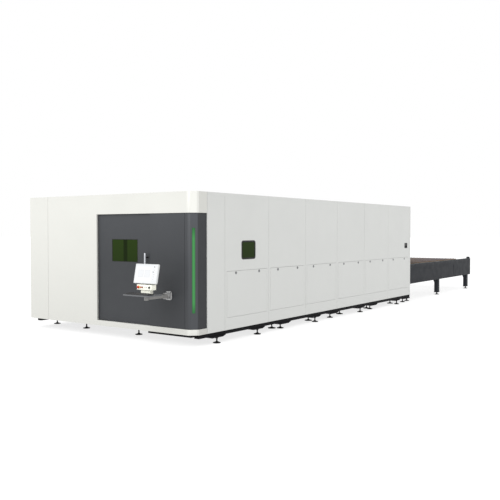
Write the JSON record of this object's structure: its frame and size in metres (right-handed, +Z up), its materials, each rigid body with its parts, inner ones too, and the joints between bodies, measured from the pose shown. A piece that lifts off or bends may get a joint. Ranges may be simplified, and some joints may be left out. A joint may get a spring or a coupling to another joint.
{
  "type": "fiber laser cutting machine",
  "caption": "Enclosed laser sheet cutter: long white cabinet, dark sliding door, swing-arm console, gantry head and a two-deck pallet changer behind.",
  "frame": {"origin": "on the floor, under the centre of the whole machine's bounding box", "axes": "+Z up, +Y along the machine from the operator's end to the pallet changer, +X across it to the side with the access panels"},
  "size_m": [3.816, 13.501, 2.27],
  "materials": {
    "white_paint": "powder coat, satin",
    "graphite_paint": "powder coat, satin",
    "frame_paint": "powder coat, matt",
    "base_paint": "powder coat, matt",
    "table_paint": "powder coat, satin",
    "bed_paint": "enamel, satin",
    "gantry_paint": "powder coat, satin",
    "foot_steel": "blackened",
    "rail_steel": "ground",
    "pallet_steel": "enamel, worn",
    "slat_steel": "mill scale with spatter",
    "drive_paint": "enamel, satin",
    "handle_grey": "satin",
    "console_grey": "powder coat, satin",
    "control_cream": "powder coat, satin",
    "head_alloy": "anodised",
    "nozzle_brass": "turned",
    "laser_glass": "tinted",
    "lamp_green": "diffusing",
    "latch_black": "textured",
    "monitor_case": "fine texture",
    "screen_light": "lit",
    "stop_red": "gloss",
    "start_orange": "gloss",
    "reset_amber": "gloss"
  },
  "bodies": {
    "root": {"base_frame": "base_paint", "levelling_feet": "foot_steel", "enclosure_frame": "frame_paint", "roof_panels": "white_paint", "front_surround": "white_paint", "front_end_panel": "white_paint", "corner_cover": "graphite_paint", "led_strip": "lamp_green", "console_panel": "graphite_paint", "door_track": "rail_steel", "side_panels": "white_paint", "side_window": "laser_glass", "side_latch": "latch_black", "left_side_panels": "white_paint", "rear_panel": "white_paint", "rear_door_guides": "frame_paint", "bed_frame": "bed_paint", "bed_rails": "rail_steel", "table_frame": "table_paint", "exchange_drive": "drive_paint", "laser_source": "frame_paint", "electrical_cabinet": "frame_paint", "console_bracket": "console_grey"},
    "door": {"sliding_door": "graphite_paint", "door_window": "laser_glass", "door_handle": "handle_grey", "door_rollers": "rail_steel"},
    "lifting_door": {"rear_door": "frame_paint"},
    "gantry": {"gantry_beam": "gantry_paint", "gantry_blocks": "rail_steel", "cross_rails": "rail_steel"},
    "cross_carriage": {"carriage": "gantry_paint"},
    "head": {"cutting_head": "head_alloy", "nozzle": "nozzle_brass"},
    "lower_pallet": {"inner_pallet": "pallet_steel", "inner_slats": "slat_steel"},
    "upper_pallet": {"outer_pallet": "pallet_steel", "outer_slats": "slat_steel"},
    "swing_arm": {"console_arm": "console_grey"},
    "console": {"console_tray": "console_grey", "keyboard": "latch_black", "control_box": "control_cream"},
    "display": {"monitor": "monitor_case", "screen": "screen_light"},
    "stop_button": {"emergency_stop": "stop_red"},
    "start": {"start_button": "start_orange"},
    "reset": {"reset_button": "reset_amber"},
    "mode": {"mode_switch": "latch_black"},
    "access_1": {"access_panel_1": "white_paint", "access_locks_1": "latch_black"},
    "access_2": {"access_panel_2": "white_paint", "access_locks_2": "latch_black"},
    "access_3": {"access_panel_3": "white_paint", "access_locks_3": "latch_black"},
    "access_4": {"access_panel_4": "white_paint", "access_locks_4": "latch_black"},
    "access_5": {"access_panel_5": "white_paint", "access_locks_5": "latch_black"},
    "access_6": {"access_panel_6": "white_paint", "access_locks_6": "latch_black"}
  },
  "joints": [
    {"name": "door_slide", "type": "slide", "parent": "root", "child": "door", "axis": [-1, 0, 0], "range_m": [0, 1.04]},
    {"name": "rear_door_lift", "type": "slide", "parent": "root", "child": "lifting_door", "axis": [0, 0, 1], "range_m": [-0.45, 0]},
    {"name": "gantry_travel", "type": "slide", "parent": "root", "child": "gantry", "axis": [0, 1, 0], "range_m": [0, 5.6]},
    {"name": "carriage_travel", "type": "slide", "parent": "gantry", "child": "cross_carriage", "axis": [1, 0, 0], "range_m": [-1, 1]},
    {"name": "head_lift", "type": "slide", "parent": "cross_carriage", "child": "head", "axis": [0, 0, 1], "range_m": [-0.22, 0]},
    {"name": "lower_pallet_slide", "type": "slide", "parent": "root", "child": "lower_pallet", "axis": [0, 1, 0], "range_m": [0, 4.729]},
    {"name": "upper_pallet_slide", "type": "slide", "parent": "root", "child": "upper_pallet", "axis": [0, 1, 0], "range_m": [-4.729, 0]},
    {"name": "arm_swing", "type": "hinge", "parent": "root", "child": "swing_arm", "pos_m": [1.37, -6.1205, 0.733], "axis": [0, 0, 1], "range_deg": [-50, 50]},
    {"name": "console_swivel", "type": "hinge", "parent": "swing_arm", "child": "console", "pos_m": [1.37, -6.5205, 0.733], "axis": [0, 0, 1], "range_deg": [-60, 60]},
    {"name": "monitor_tilt", "type": "hinge", "parent": "console", "child": "display", "pos_m": [1.37, -6.4685, 1.069], "axis": [1, 0, 0], "range_deg": [-10, 10]},
    {"name": "mode_turn", "type": "hinge", "parent": "console", "child": "mode", "pos_m": [1.47, -6.5655, 0.89], "axis": [0, 1, 0], "range_deg": [-45, 45]},
    {"name": "stop_push", "type": "slide", "parent": "console", "child": "stop_button", "axis": [0, 1, 0], "range_m": [0, 0.004], "stiffness_N_per_m": 1500},
    {"name": "start_push", "type": "slide", "parent": "console", "child": "start", "axis": [0, 1, 0], "range_m": [0, 0.004], "stiffness_N_per_m": 600},
    {"name": "reset_push", "type": "slide", "parent": "console", "child": "reset", "axis": [0, 1, 0], "range_m": [0, 0.004], "stiffness_N_per_m": 600},
    {"name": "access_hinge_1", "type": "hinge", "parent": "root", "child": "access_1", "pos_m": [1.87, -4.7315, 0.358], "axis": [0, 1, 0], "range_deg": [0, 75]},
    {"name": "access_hinge_2", "type": "hinge", "parent": "root", "child": "access_2", "pos_m": [1.87, -3.5315, 0.358], "axis": [0, 1, 0], "range_deg": [0, 75]},
    {"name": "access_hinge_3", "type": "hinge", "parent": "root", "child": "access_3", "pos_m": [1.87, -2.3315, 0.358], "axis": [0, 1, 0], "range_deg": [0, 75]},
    {"name": "access_hinge_4", "type": "hinge", "parent": "root", "child": "access_4", "pos_m": [1.87, -1.1315, 0.358], "axis": [0, 1, 0], "range_deg": [0, 75]},
    {"name": "access_hinge_5", "type": "hinge", "parent": "root", "child": "access_5", "pos_m": [1.87, 0.0685, 0.358], "axis": [0, 1, 0], "range_deg": [0, 75]},
    {"name": "access_hinge_6", "type": "hinge", "parent": "root", "child": "access_6", "pos_m": [1.87, 1.2685, 0.358], "axis": [0, 1, 0], "range_deg": [0, 75]}
  ],
  "couplings": [
    {"joint": "upper_pallet_slide", "follows": "lower_pallet_slide", "ratio": -1}
  ]
}
